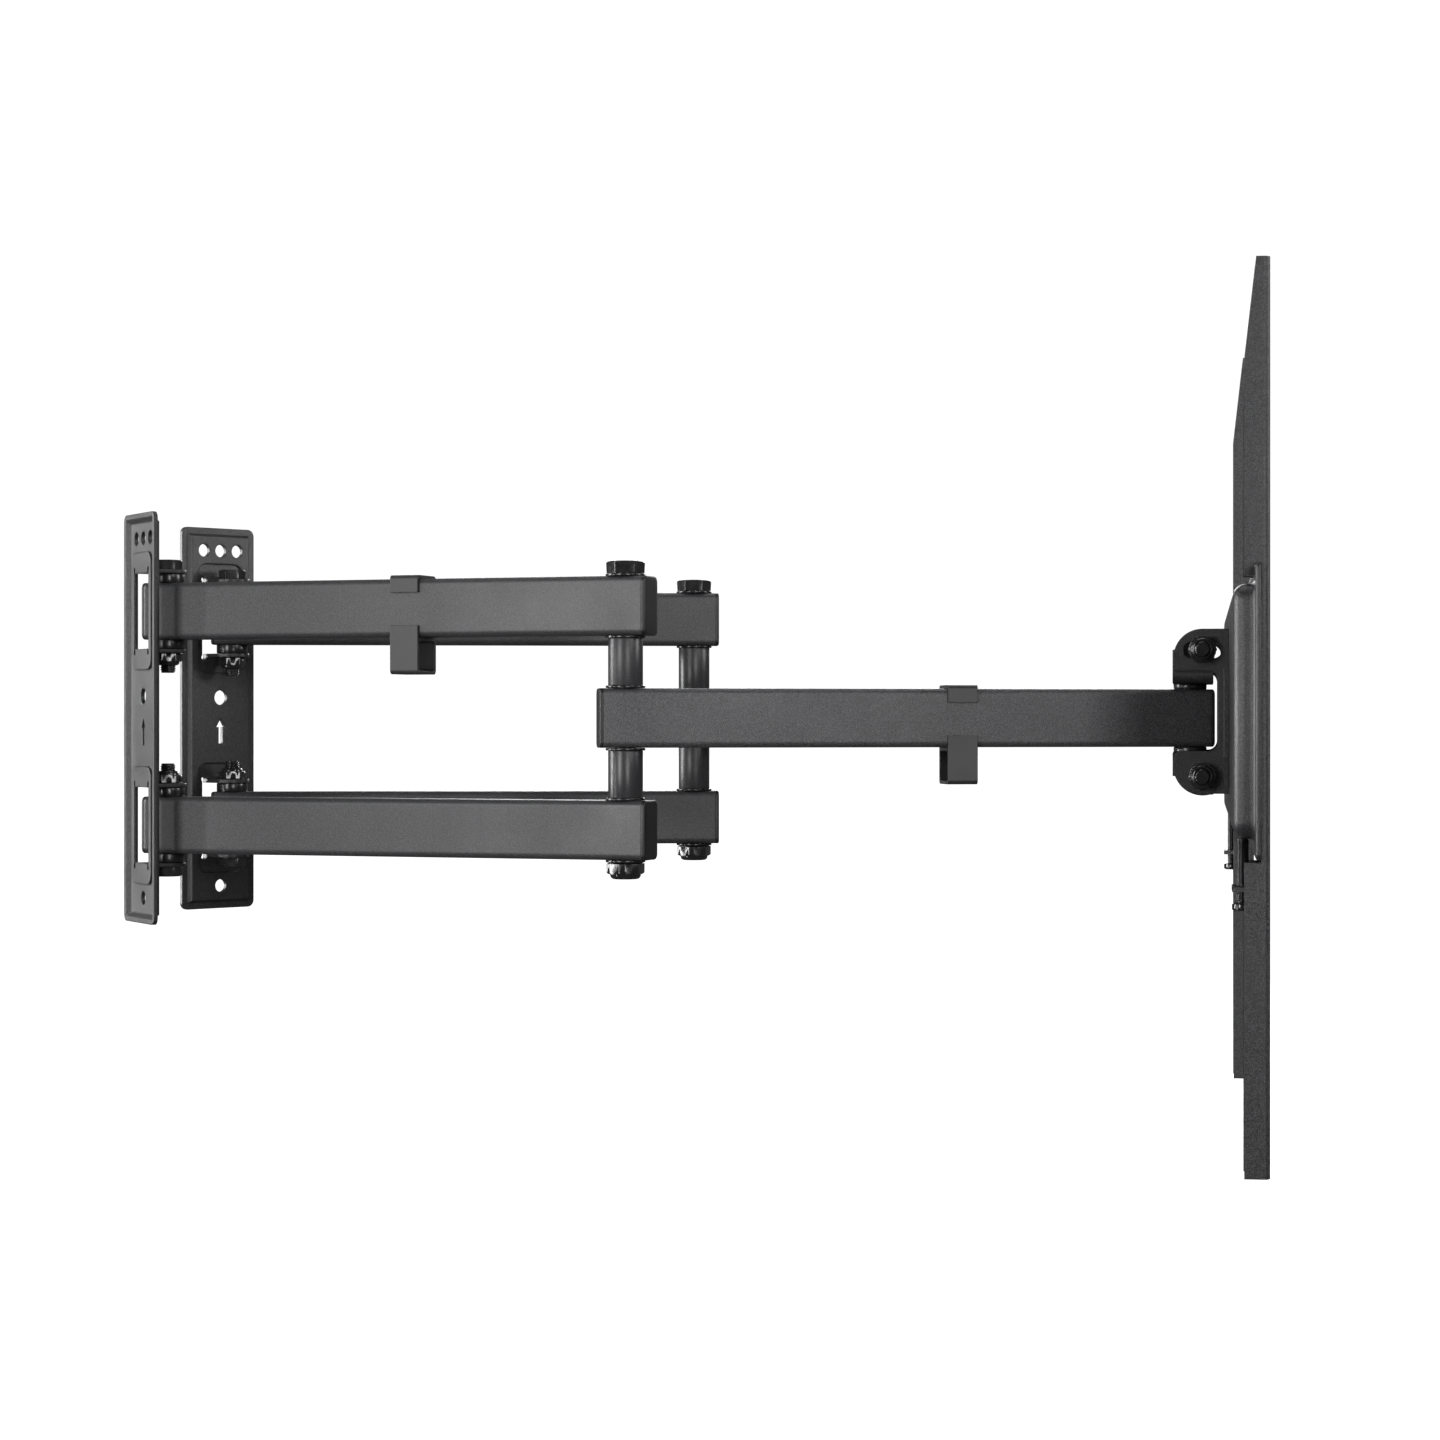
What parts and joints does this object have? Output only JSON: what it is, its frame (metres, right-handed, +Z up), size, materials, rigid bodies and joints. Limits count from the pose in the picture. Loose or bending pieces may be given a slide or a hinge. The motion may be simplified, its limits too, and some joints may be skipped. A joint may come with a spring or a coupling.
{
  "type": "full motion tv wall mount",
  "caption": "Dual-arm full motion wall mount: toed-in wall plates, folding rectangular-tube arms, a swivel and tilt head, a rail and upright screen brackets.",
  "frame": {"origin": "midway between the two wrist axes, at the forearms' mid-height", "axes": "+X towards the screen, +Y towards the right arm, +Z up"},
  "size_m": [0.6032, 0.456, 0.424],
  "materials": {
    "plate_powder_coat": "fine-grain black powder coat",
    "tube_powder_coat": "fine-grain black powder coat",
    "forearm_powder_coat": "fine-grain black powder coat",
    "bracket_powder_coat": "fine-grain black powder coat",
    "sleeve_powder_coat": "smooth black powder coat",
    "black_zinc": "glossy black zinc",
    "bushing_plastic": "moulded black nylon",
    "cap_plastic": "moulded black plastic",
    "clip_plastic": "moulded black plastic"
  },
  "bodies": {
    "swivel_head": {"upper_swivel_bracket": "bracket_powder_coat", "lower_swivel_bracket": "bracket_powder_coat", "wrist_bolts": "black_zinc", "wrist_nuts": "black_zinc", "wrist_bushings": "bushing_plastic", "tilt_pivot_bolts": "black_zinc", "tilt_pivot_nuts": "black_zinc", "tilt_slot_bolts": "black_zinc", "tilt_slot_nuts": "black_zinc", "tilt_washers": "black_zinc", "tilt_spacers": "bushing_plastic"},
    "tilt_frame": {"left_tilt_plate": "bracket_powder_coat", "right_tilt_plate": "bracket_powder_coat", "tv_rail": "bracket_powder_coat"},
    "left_bracket": {"left_screen_bracket": "bracket_powder_coat", "left_lock_screw": "black_zinc"},
    "left_forearm": {"left_forearm_tube": "forearm_powder_coat", "left_forearm_end_caps": "cap_plastic", "forearm_cable_clip": "clip_plastic"},
    "left_rear_arm": {"left_upper_rear_tube": "tube_powder_coat", "left_lower_rear_tube": "tube_powder_coat", "left_rear_end_caps": "cap_plastic", "left_shoulder_bushings": "bushing_plastic", "left_elbow_bolt": "black_zinc", "left_elbow_nut": "black_zinc", "left_elbow_sleeves": "sleeve_powder_coat", "left_elbow_washers": "bushing_plastic", "rear_cable_clip": "clip_plastic"},
    "left_plate": {"left_wall_plate": "plate_powder_coat", "left_shoulder_bolts": "black_zinc", "left_shoulder_nuts": "black_zinc"},
    "right_bracket": {"right_screen_bracket": "bracket_powder_coat", "right_lock_screw": "black_zinc"},
    "right_forearm": {"right_forearm_tube": "forearm_powder_coat", "right_forearm_end_caps": "cap_plastic"},
    "right_rear_arm": {"right_upper_rear_tube": "tube_powder_coat", "right_lower_rear_tube": "tube_powder_coat", "right_rear_end_caps": "cap_plastic", "right_shoulder_bushings": "bushing_plastic", "right_elbow_bolt": "black_zinc", "right_elbow_nut": "black_zinc", "right_elbow_sleeves": "sleeve_powder_coat", "right_elbow_washers": "bushing_plastic"},
    "right_plate": {"right_wall_plate": "plate_powder_coat", "right_shoulder_bolts": "black_zinc", "right_shoulder_nuts": "black_zinc"}
  },
  "joints": [
    {"name": "tilt", "type": "hinge", "parent": "swivel_head", "child": "tilt_frame", "pos_m": [0.0064, 0, -0.03], "axis": [0, 1, 0], "range_deg": [-5, 5]},
    {"name": "left_bracket_slide", "type": "slide", "parent": "tilt_frame", "child": "left_bracket", "axis": [0, 1, 0], "range_m": [0, 0.1]},
    {"name": "left_wrist", "type": "hinge", "parent": "swivel_head", "child": "left_forearm", "pos_m": [0, -0.02, 0], "axis": [0, 0, 1], "range_deg": [-9, 58]},
    {"name": "left_elbow", "type": "hinge", "parent": "left_forearm", "child": "left_rear_arm", "pos_m": [-0.28307, -0.10654, 0], "axis": [0, 0, -1], "range_deg": [-18.77, 120.93]},
    {"name": "left_shoulder", "type": "hinge", "parent": "left_rear_arm", "child": "left_plate", "pos_m": [-0.53883, -0.05451, 0], "axis": [0, 0, 1], "range_deg": [-125, 26]},
    {"name": "right_bracket_slide", "type": "slide", "parent": "tilt_frame", "child": "right_bracket", "axis": [0, -1, 0], "range_m": [0, 0.1]},
    {"name": "right_wrist", "type": "hinge", "parent": "swivel_head", "child": "right_forearm", "pos_m": [0, 0.02, 0], "axis": [0, 0, -1], "range_deg": [-9, 58]},
    {"name": "right_elbow", "type": "hinge", "parent": "right_forearm", "child": "right_rear_arm", "pos_m": [-0.28307, 0.10654, 0], "axis": [0, 0, 1], "range_deg": [-18.77, 120.93]},
    {"name": "right_shoulder", "type": "hinge", "parent": "right_rear_arm", "child": "right_plate", "pos_m": [-0.53883, 0.05451, 0], "axis": [0, 0, -1], "range_deg": [-125, 26]}
  ],
  "couplings": [
    {"joint": "left_elbow", "follows": "left_wrist", "ratio": 2.085},
    {"joint": "right_elbow", "follows": "right_wrist", "ratio": 2.085}
  ]
}
